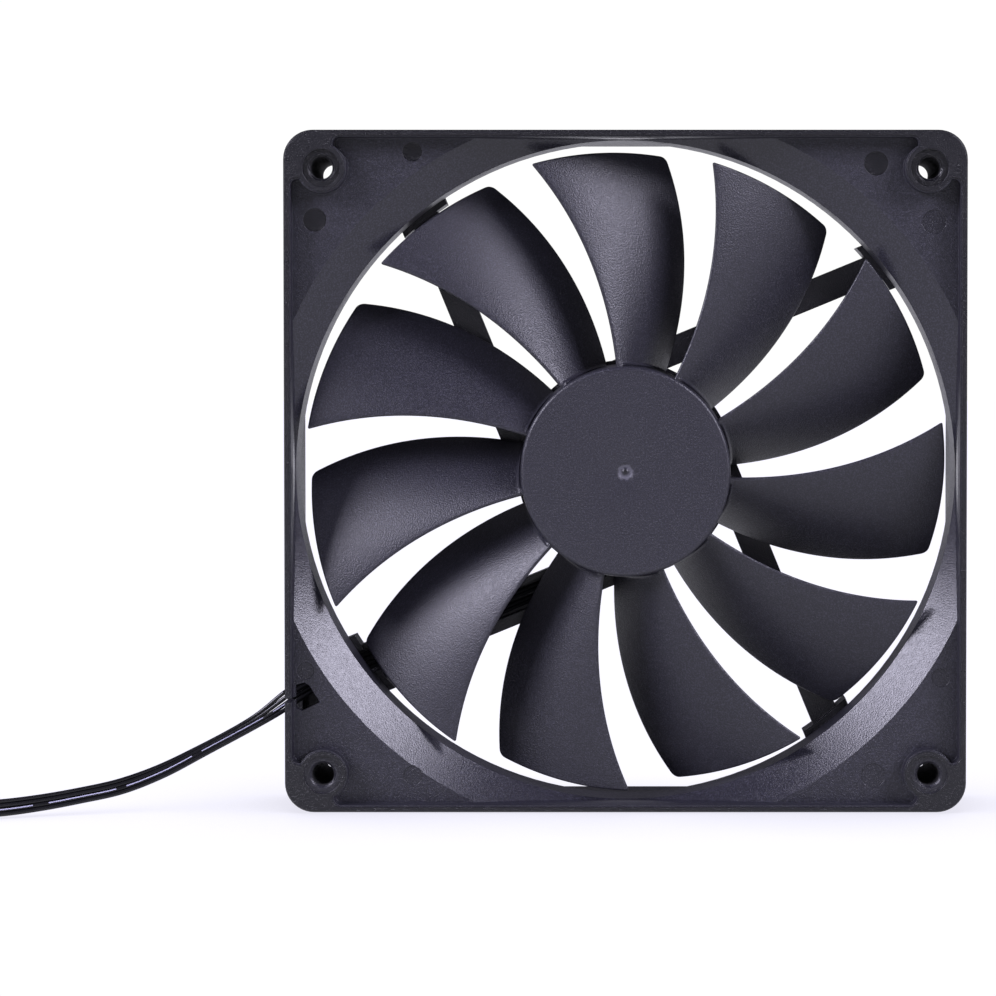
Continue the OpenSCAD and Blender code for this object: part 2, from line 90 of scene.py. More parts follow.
# ---- Materials ----


class Shader:
    """A principled material under construction, with short ways to add nodes."""

    def __init__(self, name, color, roughness, metallic=0.0, specular=0.5, coat=0.0):
        self.material = bpy.data.materials.new(name + "_finish")
        self.material.use_nodes = True
        self.tree = self.material.node_tree
        self.bsdf = self.tree.nodes["Principled BSDF"]
        self.color = (*color, 1)
        self.set("Base Color", self.color)
        self.set("Roughness", roughness)
        self.set("Metallic", metallic)
        self.set("Specular IOR Level", specular)
        self.set("Coat Weight", coat)
        self.set("Coat Roughness", 0.15)
        self.place = self.add("ShaderNodeTexCoord").outputs["Object"]

    def set(self, socket, value):
        self.bsdf.inputs[socket].default_value = value

    def add(self, kind, **settings):
        node = self.tree.nodes.new(kind)
        for name, value in settings.items():
            setattr(node, name, value)
        return node

    def link(self, source, target):
        self.tree.links.new(source, target)

    def noise(self, size, detail=2.0, stretch=(1, 1, 1)):
        """Noise whose features are about size millimetres."""
        mapping = self.add("ShaderNodeMapping")
        mapping.inputs["Scale"].default_value = stretch
        self.link(self.place, mapping.inputs["Vector"])
        node = self.add("ShaderNodeTexNoise")
        node.inputs["Scale"].default_value = 1 / (size * MM)
        node.inputs["Detail"].default_value = detail
        self.link(mapping.outputs["Vector"], node.inputs["Vector"])
        return node.outputs["Fac"]

    def grains(self, size):
        """A random height for each of many small grains."""
        cells = self.add("ShaderNodeTexVoronoi")
        cells.inputs["Scale"].default_value = 1 / (size * MM)
        self.link(self.place, cells.inputs["Vector"])
        split = self.add("ShaderNodeSeparateXYZ")
        self.link(cells.outputs["Color"], split.inputs[0])
        return self.math("ADD", self.math("MULTIPLY", split.outputs["X"], 0.6), cells.outputs["Distance"])

    def span(self, value, low, high, source_low=0.3, source_high=0.7):
        """The value stretched to run from low to high."""
        node = self.add("ShaderNodeMapRange")
        for socket, number in zip(
            ("From Min", "From Max", "To Min", "To Max"), (source_low, source_high, low, high)
        ):
            node.inputs[socket].default_value = number
        self.link(value, node.inputs["Value"])
        return node.outputs["Result"]

    def math(self, operation, a, b):
        node = self.add("ShaderNodeMath", operation=operation)
        for socket, value in zip(node.inputs, (a, b)):
            if isinstance(value, (int, float)):
                socket.default_value = value
            else:
                self.link(value, socket)
        return node.outputs[0]

    def tint(self, factor, color):
        """Blends another colour into the base colour by a factor from 0 to 1."""
        mix = self.add("ShaderNodeMix", data_type="RGBA")
        old = self.bsdf.inputs["Base Color"]
        if old.is_linked:
            self.link(old.links[0].from_socket, mix.inputs[6])
        else:
            mix.inputs[6].default_value = self.color
        mix.inputs[7].default_value = (*color, 1)
        self.link(factor, mix.inputs[0])
        self.link(mix.outputs[2], old)

    def roughen(self, value):
        self.link(value, self.bsdf.inputs["Roughness"])

    def bump(self, height, depth, rounded=0.0, less=None):
        """Relief of a given depth in millimetres, weaker where less is 1, on edges rounded to a radius."""
        node = self.add("ShaderNodeBump")
        node.inputs["Strength"].default_value = 1
        if less is not None:
            self.link(self.span(less, 1, SMOOTHER_STRENGTH, 0, 1), node.inputs["Strength"])
        node.inputs["Distance"].default_value = depth * MM
        self.link(height, node.inputs["Height"])
        normal = self.bsdf.inputs["Normal"]
        if normal.is_linked:
            self.link(normal.links[0].from_socket, node.inputs["Normal"])
        elif rounded:
            bevel = self.add("ShaderNodeBevel", samples=4)
            bevel.inputs["Radius"].default_value = rounded * MM
            self.link(bevel.outputs["Normal"], node.inputs["Normal"])
        self.link(node.outputs["Normal"], normal)


# Size and depth of the moulded grain, in millimetres, and what is left of it where it is finer
GRAIN = 0.3
GRAIN_DEPTH = 0.04
SMOOTHER_STRENGTH = 0.3
BLACK = (0.0142, 0.0138, 0.0198)
ROUGHNESS = 0.37
# The intake flare comes from a smoother part of the mould
FLARE_R = 75.25
FLARE_DEPTHS = (4.03, 8.25)
FLARE_ROUGHNESS = 0.22
FLOOR_DEPTH = 4.15
# The flange's front lands end here, and the struts' fronts, which get painted shade, lie between these
# depths
LAND_DEPTH = 0.35
STRUT_DEPTHS = (17.2, 24)
COUNTERBORE_DEPTH = 0.6
HOLE_POS = 62.25
HOLE_R = 2.25
COUNTERBORE_R = 3.9
# How much painted shade the lower counterbores get, beside the upper ones
LOWER_SHADE = 0.4
# Ejector marks on the corner floors: x, y and radius as in the CAD model, then how dark each is painted;
# their darkness is a painted dark reflection, strongest on the upper floors
PIN_MARKS = [
    (-43.9, 65.8, 2, 1),
    (-64, 51.8, 2.4, 1),
    (51.6, 63.4, 2.5, 1),
    (63.6, 51.4, 2.5, 0.3),
    (-66.2, -41.3, 1.8, 0.25),
    (-44, -63, 2, 0.25),
    (51.2, -63, 2.5, 0.25),
    (65.2, -42.7, 1.9, 0.25),
]


def moulded(name, color, roughness, rounded=0.0, smoother=None):
    """Black plastic with the fine grain of a spark-eroded mould; smoother gives where it is finer."""
    s = Shader(name, color, roughness)
    s.tint(s.span(s.noise(18, detail=3), 0, 0.25), [1.3 * c for c in color])
    s.tint(s.span(s.noise(0.3, detail=1), 0, 1, 0.45, 0.8), [2.9 * c for c in color])
    s.roughen(s.span(s.noise(0.9, detail=3), roughness - 0.05, roughness + 0.05))
    s.bump(s.grains(GRAIN), GRAIN_DEPTH, rounded=rounded, less=smoother(s) if smoother else None)
    return s


def from_shaft(s):
    """Distance from the shaft, in metres."""
    flat = s.add("ShaderNodeVectorMath", operation="MULTIPLY")
    s.link(s.place, flat.inputs[0])
    flat.inputs[1].default_value = (1, 0, 1)
    distance = s.add("ShaderNodeVectorMath", operation="DISTANCE")
    s.link(flat.outputs["Vector"], distance.inputs[0])
    distance.inputs[1].default_value = (0, 0, HALF * MM)
    return distance.outputs["Value"]


def along_shaft(s):
    split = s.add("ShaderNodeSeparateXYZ")
    s.link(s.place, split.inputs[0])
    return split.outputs["Y"]


def lower_roughness(s, mask, change):
    rough = s.bsdf.inputs["Roughness"].links[0].from_socket
    s.roughen(s.math("SUBTRACT", rough, s.math("MULTIPLY", mask, change)))


def between(s, value, low, high):
    """1 where the value lies between two limits, 0 elsewhere."""
    return s.math("MULTIPLY", s.math("GREATER_THAN", value, low), s.math("LESS_THAN", value, high))


def on_flare(s):
    """1 on the intake flare, 0 elsewhere."""
    start, end = (at(0, 0, depth).y for depth in FLARE_DEPTHS)
    y = along_shaft(s)
    return s.math("MULTIPLY", between(s, y, start, end), s.math("LESS_THAN", from_shaft(s), FLARE_R * MM))


def paint_screw_hole_shade(s, front):
    """Paints shade into the counterbores, most of all the upper ones, and onto the walls of the holes,
    which are also dulled.
    """
    split = s.add("ShaderNodeSeparateXYZ")
    s.link(s.place, split.inputs[0])
    above = s.math("SUBTRACT", split.outputs["Z"], HALF * MM)
    x_away = s.math("SUBTRACT", s.math("ABSOLUTE", split.outputs["X"], 0), HOLE_POS * MM)
    z_away = s.math("SUBTRACT", s.math("ABSOLUTE", above, 0), HOLE_POS * MM)
    squares = s.math("ADD", s.math("MULTIPLY", x_away, x_away), s.math("MULTIPLY", z_away, z_away))
    away = s.math("SQRT", squares, 0)
    floor = s.math("MULTIPLY", s.math("LESS_THAN", away, (COUNTERBORE_R - 0.05) * MM), front)
    upper = s.span(above, LOWER_SHADE, 1, -MM, MM)
    floor = s.math("MULTIPLY", floor, upper)
    wall = s.math("LESS_THAN", away, (HOLE_R + 0.1) * MM)
    # Painted shade in the counterbores and on the hole walls
    s.tint(s.math("MAXIMUM", floor, wall), [0.3 * c for c in BLACK])
    lower_roughness(s, floor, 0.15)
    lower_roughness(s, wall, -0.5)


def frame_plastic():
    """The moulded plastic: smoother on the flare, darker on the lands, with painted shade on the struts and
    a painted dark reflection on the marks.
    """
    s = moulded("frame_plastic", BLACK, ROUGHNESS, rounded=0.18, smoother=on_flare)
    depth = along_shaft(s)
    land = s.math("LESS_THAN", depth, at(0, 0, LAND_DEPTH).y)
    behind = between(s, depth, at(0, 0, STRUT_DEPTHS[0]).y, at(0, 0, STRUT_DEPTHS[1]).y)
    # Painted shade on the struts' fronts deep inside the frame; the lands are made darker too
    s.tint(s.math("MAXIMUM", land, behind), [0.45 * c for c in BLACK])
    lower_roughness(s, land, 0.06)
    paint_screw_hole_shade(s, s.math("LESS_THAN", depth, at(0, 0, COUNTERBORE_DEPTH + 0.7).y))
    marks = 0
    for x, y, r, dark in PIN_MARKS:
        distance = s.add("ShaderNodeVectorMath", operation="DISTANCE")
        distance.inputs[1].default_value = at(x, y, FLOOR_DEPTH)
        s.link(s.place, distance.inputs[0])
        inside = s.math("LESS_THAN", distance.outputs["Value"], r * MM)
        marks = s.math("MAXIMUM", s.math("MULTIPLY", inside, dark), marks)
    # Painted dark reflection on the smoother ejector marks
    s.tint(marks, [0.4 * c for c in BLACK])
    lower_roughness(s, marks, 0.22)
    lower_roughness(s, on_flare(s), ROUGHNESS - FLARE_ROUGHNESS)
    return s.material


# The gate mark on the hub's face: middle of its pale ring, and where ring and pit fade out
GATE_RING_R = 1.2
RING_FADE = (0.2, 0.5)
PIT_FADE = (0.3, 0.6)
GATE_DEPTH = 1.6


def impeller_plastic():
    """The moulded plastic, with the pale ring and dark pit of the gate on the hub's face."""
    s = moulded("impeller_plastic", BLACK, ROUGHNESS)
    r = from_shaft(s)
    face = s.math("LESS_THAN", along_shaft(s), at(0, 0, GATE_DEPTH).y)
    ragged = s.math("ADD", r, s.span(s.noise(0.9, detail=3), -0.25 * MM, 0.25 * MM))
    away = s.math("ABSOLUTE", s.math("SUBTRACT", ragged, GATE_RING_R * MM), 0)
    ring = s.span(away, 1, 0, *(w * MM for w in RING_FADE))
    s.tint(s.math("MULTIPLY", s.math("MULTIPLY", ring, face), 0.9), (0.09, 0.088, 0.11))
    pit = s.span(ragged, 1, 0, *(w * MM for w in PIT_FADE))
    s.tint(s.math("MULTIPLY", pit, face), (0.006, 0.006, 0.008))
    return s.material


def lead_pvc():
    s = Shader("lead_pvc", (0.004, 0.004, 0.005), 0.24, specular=0.45)
    s.tint(s.span(s.noise(6, detail=3), 0, 0.5), (0.008, 0.008, 0.01))
    s.roughen(s.span(s.noise(1.5, detail=3), 0.2, 0.3))
    s.bump(s.noise(1.2, detail=1), 0.01)
    return s.material


def shaded_pvc():
    """The same insulation where it runs inside the frame, out of the light: darker and duller, as painted
    shade.
    """
    s = Shader("shaded_pvc", (0.003, 0.003, 0.004), 0.7, specular=0.1)
    s.tint(s.span(s.noise(6, detail=3), 0, 0.5), (0.007, 0.007, 0.009))
    s.roughen(s.span(s.noise(1.5, detail=3), 0.62, 0.8))
    s.bump(s.noise(0.8, detail=2), 0.03)
    return s.material


def stripe_ink():
    s = Shader("stripe_ink", (0.42, 0.42, 0.56), 0.45)
    s.tint(s.span(s.noise(0.5, detail=3), 0, 0.6), (0.26, 0.26, 0.36))
    s.roughen(s.span(s.noise(0.7), 0.4, 0.55))
    return s.material


def plain(name, color, roughness, metallic=0.0, speck=0.4, other=None, grain=0.25, depth=0.02, **more):
    """Colour, roughness and relief that vary a little at a small scale."""
    s = Shader(name, color, roughness, metallic, **more)
    s.tint(s.span(s.noise(speck, detail=4), 0, 0.6), other or [0.75 * c for c in color])
    s.roughen(s.span(s.noise(2.2, detail=4), roughness - 0.06, roughness + 0.08))
    s.bump(s.noise(grain, detail=2), depth)
    return s.material


def brushed(name, color, roughness, along):
    """Metal with fine lines along one axis."""
    s = Shader(name, color, roughness, 1.0)
    stretch = [0.03 if axis == along else 1 for axis in "xyz"]
    lines = s.noise(0.12, detail=2, stretch=stretch)
    s.tint(s.span(lines, 0, 0.5), [0.7 * c for c in color])
    s.roughen(s.span(s.noise(1.5, detail=3), roughness - 0.06, roughness + 0.1))
    s.bump(lines, 0.01)
    return s.material


PRINTED_RING_R = 18.6
PRINTED_RING_W = 0.5


def label_film():
    """Blank satin label with one printed ring near its edge."""
    s = Shader("label", (0.42, 0.42, 0.44), 0.4, 0.6)
    distance = s.add("ShaderNodeVectorMath", operation="DISTANCE")
    distance.inputs[1].default_value = at(0, 0, DEPTH)
    s.link(s.place, distance.inputs[0])
    away = s.math("ABSOLUTE", s.math("SUBTRACT", distance.outputs["Value"], PRINTED_RING_R * MM), 0)
    s.tint(s.math("LESS_THAN", away, PRINTED_RING_W / 2 * MM), (0.05, 0.05, 0.055))
    s.roughen(s.span(s.noise(3, detail=4), 0.32, 0.48))
    s.bump(s.noise(0.6, detail=3), 0.01)
    return s.material


def enamelled_wire():
    """Copper winding: fine turns side by side."""
    s = Shader("copper", (0.46, 0.17, 0.06), 0.32, 0.85)
    wave = s.add("ShaderNodeTexWave", wave_type="RINGS", rings_direction="Y")
    wave.inputs["Scale"].default_value = 900
    wave.inputs["Distortion"].default_value = 1.5
    s.link(s.place, wave.inputs["Vector"])
    s.tint(s.span(wave.outputs["Fac"], 0, 0.6, 0, 1), (0.2, 0.06, 0.02))
    s.bump(wave.outputs["Fac"], 0.06)
    return s.material


def circuit_mask():
    s = Shader("board", (0.01, 0.06, 0.025), 0.3, coat=0.3)
    cells = s.add("ShaderNodeTexVoronoi", feature="DISTANCE_TO_EDGE")
    cells.inputs["Scale"].default_value = 350
    s.link(s.place, cells.inputs["Vector"])
    s.tint(s.span(cells.outputs["Distance"], 1, 0, 0.03, 0.06), (0.03, 0.14, 0.06))
    s.roughen(s.span(s.noise(1.5, detail=3), 0.25, 0.4))
    s.bump(cells.outputs["Distance"], 0.02)
    return s.material


def make_materials():
    """One material for each slot of the record."""
    return {
        "frame_plastic": frame_plastic(),
        "impeller_plastic": impeller_plastic(),
        "lead_pvc": lead_pvc(),
        "label": label_film(),
        "copper": enamelled_wire(),
        "board": circuit_mask(),
        "yoke_steel": brushed("yoke_steel", (0.42, 0.42, 0.43), 0.35, "y"),
        "shaft_steel": brushed("shaft_steel", (0.6, 0.6, 0.62), 0.2, "y"),
        "lamination": brushed("lamination", (0.3, 0.3, 0.32), 0.45, "x"),
        "brass": brushed("brass", (0.6, 0.42, 0.18), 0.3, "y"),
        "bronze": plain("bronze", (0.42, 0.27, 0.12), 0.5, 0.9, speck=0.3, grain=0.15),
        "tin": plain("tin", (0.62, 0.58, 0.48), 0.28, 1.0, speck=0.6),
        "magnet": plain("magnet", (0.05, 0.045, 0.042), 0.6, speck=0.2, grain=0.15),
        "clip_plastic": plain("clip_plastic", (0.7, 0.68, 0.6), 0.45),
        "pad_plastic": plain("pad_plastic", (0.66, 0.63, 0.54), 0.45),
        "insulator_plastic": plain("insulator_plastic", (0.75, 0.72, 0.62), 0.45),
        "rubber": plain("rubber", (0.02, 0.02, 0.021), 0.7),
        "chip": plain("chip", (0.02, 0.02, 0.022), 0.5, grain=0.12),
        "ceramic": plain("ceramic", (0.42, 0.3, 0.16), 0.35),
        "tie_pvc": plain("tie_pvc", (0.014, 0.014, 0.017), 0.45),
        "housing_nylon": plain("housing_nylon", (0.015, 0.015, 0.018), 0.42, grain=0.3, depth=0.02),
    }


# ---- Pieces ----


def add_piece(name, points, faces, materials, body, chosen=None):
    """A smooth-shaded mesh that rides on a body; chosen gives each face's material."""
    mesh = bpy.data.meshes.new(name)
    mesh.from_pydata(points, [], faces)
    for material in materials:
        mesh.materials.append(material)
    mesh.polygons.foreach_set("use_smooth", [True] * len(faces))
    if chosen:
        mesh.polygons.foreach_set("material_index", chosen)
    mesh.update()
    piece = bpy.data.objects.new(name, mesh)
    bpy.context.scene.collection.objects.link(piece)
    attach(piece, body)
    return piece


def arc(centre, radius, start, end, steps):
    """Points [radius, depth] along an arc, for a turned profile; angles in degrees."""
    return [
        (
            centre[0] + radius * math.cos(math.radians(start + (end - start) * k / steps)),
            centre[1] + radius * math.sin(math.radians(start + (end - start) * k / steps)),
        )
        for k in range(steps + 1)
    ]


# ---- Impeller ----

BLADES = 11
TIP_R = 66.2
HUB_FACE_R = 21.6
HUB_R = 22.2
ROOT_R = HUB_R - 0.9
HUB_TOP = 0.8
HUB_END = 18.8
HUB_WALL = 1.5
HUB_FACE_T = 1.6
HUB_ROUND = 0.8
HUB_EDGE = 0.2
HUB_STEPS = 160
# Radius that stands for the shaft's own line, where a turned mesh would meet itself
ON_SHAFT = 0.001
# Radius and depth of the small dip at the hub's gate
GATE_DIP = [(ON_SHAFT, 0.95), (0.3, 0.93), (0.5, 0.98), (0.62, 1.14), (1.05, 1.2), (1.3, 1.1), (1.85, 0.84)]
LEAD_ANGLE, LEAD_SWEEP = 160.2, 12.3
TRAIL_ANGLE, TRAIL_SWEEP = 133.5, 14.7
SWEEP_POWER = 1.39
BLADE_T, BLADE_EDGE_T = 1.5, 0.6
# Depths of a blade's leading and trailing edge at the hub, and their growth to the tip
LEAD_DEPTH, LEAD_GROWTH = 3, 1.4
TRAIL_DEPTH, TRAIL_GROWTH = 17.8, -0.7
# Linear and square part of a blade's camber
CAMBER = (0.62, 0.38)
LEAD_CORNER, TRAIL_CORNER = 0.5, 1.2
# The root fillet's radius, where it starts behind a blade's edge and over what length it rises
ROOT_FILLET = 0.45
FILLET_START, FILLET_RISE = 0.4, 3


def corner_inset(radius, from_tip):
    """How far a rounded corner draws an edge in, at a distance from the tip."""
    if from_tip >= radius:
        return 0
    return radius - math.sqrt(max(radius**2 - (radius - from_tip) ** 2, 0))


def swell(distance, radius):
    """Share of the full thickness at a distance from a rounded edge."""
    share = min(distance / radius, 1)
    return math.sqrt(max(1 - (1 - share) ** 2, 0))


def blade_radii():
    near_hub = [ROOT_R] + [HUB_R + x for x in (-0.1, 0.05, 0.15, 0.3, 0.5, 0.8, 1.3)]
    near_tip = [TIP_R - x for x in (1.3, 0.9, 0.6, 0.4, 0.25, 0.14, 0.06, 0.02, 0)]
    count = 26
    first, last = near_hub[-1], near_tip[0]
    between = [first + (last - first) * k / count for k in range(1, count)]
    return near_hub + between + near_tip


def blade_shares():
    """Places along the chord from 0 to 1, close together at both edges."""
    edge = [0, 0.0008, 0.003, 0.007, 0.013, 0.021, 0.035, 0.06]
    count = 22
    middle = [0.06 + 0.88 * k / count for k in range(1, count)]
    return edge + middle + [1 - x for x in reversed(edge)]


def blade_point(r, share, face):
    """A point of a blade's skin, as in the CAD model but with rounded edges."""
    s = (r - ROOT_R) / (TIP_R - ROOT_R)
    lead = math.radians(LEAD_ANGLE + LEAD_SWEEP * s**SWEEP_POWER)
    trail = math.radians(TRAIL_ANGLE + TRAIL_SWEEP * s**SWEEP_POWER)
    chord = r * (lead - trail)
    from_tip = TIP_R - r
    first = corner_inset(LEAD_CORNER, from_tip) / chord
    last = 1 - corner_inset(TRAIL_CORNER, from_tip) / chord
    u = first + (last - first) * share
    lead_depth, trail_depth = LEAD_DEPTH + LEAD_GROWTH * s, TRAIL_DEPTH + TRAIL_GROWTH * s
    drop = trail_depth - lead_depth
    slope = drop * (CAMBER[0] + 2 * CAMBER[1] * u)
    length = math.hypot(chord, slope)
    half = (BLADE_EDGE_T + (BLADE_T - BLADE_EDGE_T) * 2 * math.sqrt(max(u * (1 - u), 0))) / 2
    to_edge = min(share, 1 - share) * (last - first) * length
    half *= swell(to_edge, BLADE_EDGE_T / 2) * swell(from_tip, BLADE_EDGE_T / 2)
    if r > ROOT_R:
        beyond = max(r - HUB_R, 0)
        half += corner_inset(ROOT_FILLET, beyond) * swell(max(to_edge - FILLET_START, 0), FILLET_RISE)
    angle = lead - (chord * u + face * half * slope / length) / r
    depth = lead_depth + drop * (CAMBER[0] * u + CAMBER[1] * u * u) - face * half * chord / length
    return r, angle, depth


def blade_mesh(turn, points, faces):
    radii, shares = blade_radii(), blade_shares()
    width = len(shares)
    sides = []
    for face in (1, -1):
        start = len(points)
        sides.append(start)
        for r in radii:
            for share in shares:
                radius, angle, depth = blade_point(r, share, face)
                points.append(polar(radius, angle + turn, depth))
    for start, outward in zip(sides, (True, False)):
        for i in range(len(radii) - 1):
            for j in range(width - 1):
                a = start + i * width + j
                quad = (a, a + 1, a + width + 1, a + width)
                faces.append(quad if outward else quad[::-1])


def turned(profile, steps, points, faces):
    """Adds a solid of revolution about the shaft from a closed profile of [radius, depth]."""
    start = len(points)
    count = len(profile)
    for k in range(steps):
        points.extend(polar(r, 2 * math.pi * k / steps, depth) for r, depth in profile)
    for k in range(steps):
        a, b = start + k * count, start + (k + 1) % steps * count
        for i in range(count):
            j = (i + 1) % count
            faces.append((a + i, a + j, b + j, b + i))


def hub_profile():
    inner, under = HUB_R - HUB_WALL, HUB_TOP + HUB_FACE_T
    face = [(2.1, HUB_TOP), (12, HUB_TOP), (HUB_FACE_R - HUB_ROUND - 0.3, HUB_TOP)]
    rim = arc((HUB_FACE_R - HUB_ROUND, HUB_TOP + HUB_ROUND), HUB_ROUND, -90, 0, 8)
    side = [(HUB_FACE_R + 0.05, 3), (HUB_R, HUB_END - HUB_EDGE), (HUB_R - HUB_EDGE, HUB_END)]
    inside = [(inner, HUB_END), (inner, under), (ON_SHAFT, under)]
    return GATE_DIP + face + rim + side + inside


def add_impeller(material):
    points, faces = [], []
    turned(hub_profile(), HUB_STEPS, points, faces)
    for k in range(BLADES):
        blade_mesh(2 * math.pi * k / BLADES, points, faces)
    piece = add_piece("impeller_moulding", points, faces, [material], "rotor")
    weld = piece.modifiers.new("weld", "WELD")
    weld.merge_threshold = 2 * ON_SHAFT * MM
    split = piece.modifiers.new("edges", "EDGE_SPLIT")
    split.split_angle = math.radians(50)
    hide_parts("impeller")


# ---- Lead ----

WIRES = 4
WIRE_D = 0.9
# The same route and roll as in the CAD model
LEAD_ROUTE = [
    (-70, -3.5, 22.6),
    (-75, -4.1, 19),
    (-80, -4.8, 16),
    (-88, -6.3, 11.8),
    (-96, -8.4, 7.9),
    (-104, -10.8, 5.1),
    (-112, -13.4, 3.6),
    (-120, -16.2, 2.5),
    (-128, -19, 1.9),
    (-138, -22, 1.9),
    (-150, -24, 2.1),
    (-162, -24.5, 2.1),
]
LEAD_ROLL = [0, 40, 54, 55, 44, 33, 34, 28, 18, 8, 0, 0]
COIL_R = 22.7
COIL_PITCH = 1.6
COIL_TURNS = 2.75
TAIL_R = 10
TAIL_STRAIGHT = 3
CONNECTOR_MID = 2.9
TERMINAL_PITCH = 2.54
# The conductors lie a little into each other where they are fused
FUSED = 0.985
# Near the frame they lie apart and bow to both sides, and near the connector they spread
EXIT_LENGTH, EXIT_SPREAD, EXIT_BOW = 13, 0.14, 0.12
PLUG_LENGTH = 9
STRIPED_WIRE = 2
# The stripe's dashes, the gaps between them, and how much of the first dash lies inside the frame
DASH, DASH_GAP, FIRST_DASH = 14.2, 2.6, 10.4


def spline(values, t):
    """Catmull-Rom value through a list of numbers, as in the CAD model."""
    last = len(values) - 1
    i = min(int(t), last - 1)
    f = t - i
    a, b, c, d = (values[min(max(i + k, 0), last)] for k in (-1, 0, 1, 2))
    return 0.5 * (
        2 * b
        + (c - a) * f
        + (2 * a - 5 * b + 4 * c - d) * f * f
        + (3 * b - a - 3 * c + d) * f**3
    )


def through(points, t):
    return Vector([spline([p[k] for p in points], t) for k in range(3)])


def lead_path():
    """Points, rolls in degrees and wire spacings along the whole lead, in millimetres."""
    path = []
    steps = 8
    for k in range((len(LEAD_ROUTE) - 1) * steps):
        t = k / steps
        path.append((through(LEAD_ROUTE, t), spline(LEAD_ROLL, t)))
    end = Vector(LEAD_ROUTE[-1])
    centre = Vector((end.x, end.y + COIL_R, 0))
    turn_steps = 96
    inner = COIL_R - COIL_PITCH * COIL_TURNS
    total = int(turn_steps * COIL_TURNS)
    for k in range(total):
        angle = -math.pi / 2 - 2 * math.pi * k / turn_steps
        radius = COIL_R - (COIL_R - inner) * k / total
        place = centre + Vector((radius * math.cos(angle), radius * math.sin(angle), end.z))
        path.append((place, 0))
    tail_steps = 16
    for k in range(tail_steps + 1):
        angle = -math.pi / 2 * k / tail_steps
        share = k / tail_steps
        height = end.z + (CONNECTOR_MID - end.z) * share
        place = centre + Vector((inner - TAIL_R, 0, height))
        place += Vector((TAIL_R * math.cos(angle), TAIL_R * math.sin(angle), 0))
        path.append((place, 90 * share))
    back = path[-1][0]
    straight_steps = 4
    for k in range(1, straight_steps + 1):
        path.append((back + Vector((-TAIL_STRAIGHT * k / straight_steps, 0, 0)), 90))
    return path


def lengths(places):
    total, result = 0, [0]
    for a, b in zip(places, places[1:]):
        total += (b - a).length
        result.append(total)
    return result


def heading(places, i):
    return (places[min(i + 1, len(places) - 1)] - places[max(i - 1, 0)]).normalized()


def tube(places, radius, points, faces, sides=12, rolls=None):
    """Adds a closed tube along a path; its first row of faces looks out of the flat lead's broad side."""
    start = len(points)
    for i, place in enumerate(places):
        ahead = heading(places, i)
        side = ahead.cross(Vector((0, 0, 1))).normalized()
        over = side.cross(ahead)
        first = math.pi - math.radians(rolls[i] if rolls else 0) - math.pi / sides
        for k in range(sides):
            angle = first + 2 * math.pi * k / sides
            points.append((place + radius * (math.cos(angle) * side + math.sin(angle) * over)) * MM)
    for i in range(len(places) - 1):
        for k in range(sides):
            a, b = start + i * sides + k, start + i * sides + (k + 1) % sides
            faces.append((a, b, b + sides, a + sides))
    faces.append(tuple(start + k for k in reversed(range(sides))))
    faces.append(tuple(start + (len(places) - 1) * sides + k for k in range(sides)))


def wire_places(path, wire):
    """The route of one of the four conductors: fused side by side, apart at both ends."""
    places = [p for p, _ in path]
    along = lengths(places)
    result = []
    for i, (place, roll) in enumerate(path):
        ahead = heading(places, i)
        side = ahead.cross(Vector((0, 0, 1))).normalized()
        over = side.cross(ahead)
        turn = math.radians(roll)
        across = math.cos(turn) * over + math.sin(turn) * side
        near_exit = max(1 - along[i] / EXIT_LENGTH, 0)
        near_plug = max(1 - (along[-1] - along[i]) / PLUG_LENGTH, 0) ** 2
        gap = WIRE_D * FUSED + EXIT_SPREAD * near_exit + (TERMINAL_PITCH - WIRE_D) * near_plug
        bow = EXIT_BOW * near_exit * (1 if wire % 2 else -1)
        offset = ((WIRES - 1) / 2 - wire) * gap
        result.append(place + across * offset + across.cross(ahead) * bow)
    return result


def add_lead(insulation, ink):
    path = lead_path()
    centre = [p for p, _ in path]
    rolls = [roll for _, roll in path]
    points, faces, chosen = [], [], []
    sides = 12
    for wire in range(WIRES):
        places = wire_places(path, wire)
        first = len(faces)
        tube(places, WIRE_D / 2, points, faces, sides, rolls)
        chosen += [0] * (len(faces) - first)
        if wire != STRIPED_WIRE:
            continue
        along = lengths(places)
        for i in range(len(places) - 1):
            if (along[i] + FIRST_DASH) % (DASH + DASH_GAP) < DASH:
                chosen[first + i * sides] = 1
    piece = add_piece("lead", points, faces, [insulation, ink], "housing", chosen)
    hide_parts("lead_ribbon", "lead_coil", "lead_tail")
    return piece, [p * MM for p in centre], lengths(centre)[-1] * MM


STRUT_ANGLE = math.radians(22.3 + 180)
CHANNEL_OFFSET = 17.1
# The conductors' way along the strut: distance outwards, depth, and which way they weave
CHANNEL_ROUTE = [(3, 19, 0), (9, 19.6, 0), (16, 21.4, 1), (30, 21.6, -1), (48, 21.6, 1), (63, 20.6, 0)]
BEHIND_OUTLET = (-63.5, -0.5, 26.2)
WEAVE = 0.15
CHANNEL_GAP = 0.1


def on_strut(along, across, depth):
    """A place on the lead's strut: distance outwards, offset across it, depth."""
    offset = CHANNEL_OFFSET + across
    x = along * math.cos(STRUT_ANGLE) - offset * math.sin(STRUT_ANGLE)
    y = along * math.sin(STRUT_ANGLE) + offset * math.cos(STRUT_ANGLE)
    return (x, depth - DEPTH / 2, HALF + y)


